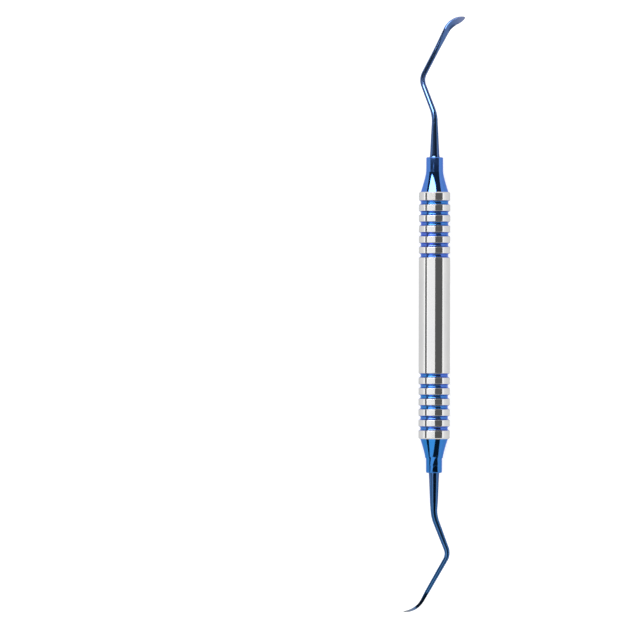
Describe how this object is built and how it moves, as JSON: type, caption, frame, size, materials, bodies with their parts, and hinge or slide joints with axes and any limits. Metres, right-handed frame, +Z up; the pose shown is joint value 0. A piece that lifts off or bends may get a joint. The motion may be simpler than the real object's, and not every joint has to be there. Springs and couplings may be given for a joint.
{
  "type": "hand scaler",
  "caption": "Double-ended dental hand scaler: grooved steel handle with blue grip rings, blue cones, bent shanks, a scoop-shaped curette blade and a pointed sickle blade",
  "frame": {"origin": "on the table the instrument lies on, straight below the middle of the handle", "axes": "+Y along the handle towards the curette end, -Y towards the sickle end, +X to the side the curette's blade points to, +Z up, so both bent shanks lie level"},
  "size_m": [0.0184, 0.1803, 0.0095],
  "materials": {
    "steel": "polished stainless steel with fine turning marks",
    "blue_coat": "glossy blue hard coat on stainless steel",
    "blue_ring": "glossy blue hard coat on turned steel rings",
    "blue_tool_steel": "glossy dark blue to violet hard coat on tool steel",
    "seal_rubber": "matte black silicone rubber",
    "pin_steel": "bright drawn steel"
  },
  "bodies": {
    "root": {"handle_tube": "steel", "curette_working_end": "blue_tool_steel", "curette_cone": "blue_coat", "curette_seal": "seal_rubber", "curette_tang_pin": "pin_steel", "sickle_working_end": "blue_tool_steel", "sickle_cone": "blue_coat", "sickle_seal": "seal_rubber", "sickle_tang_pin": "pin_steel", "curette_grip_ring_1": "blue_ring", "curette_grip_ring_2": "blue_ring", "curette_grip_ring_3": "blue_ring", "curette_grip_ring_4": "blue_ring", "curette_grip_ring_5": "blue_ring", "curette_grip_ring_6": "blue_ring", "sickle_grip_ring_1": "blue_ring", "sickle_grip_ring_2": "blue_ring", "sickle_grip_ring_3": "blue_ring", "sickle_grip_ring_4": "blue_ring", "sickle_grip_ring_5": "blue_ring", "sickle_grip_ring_6": "blue_ring"}
  },
  "joints": []
}
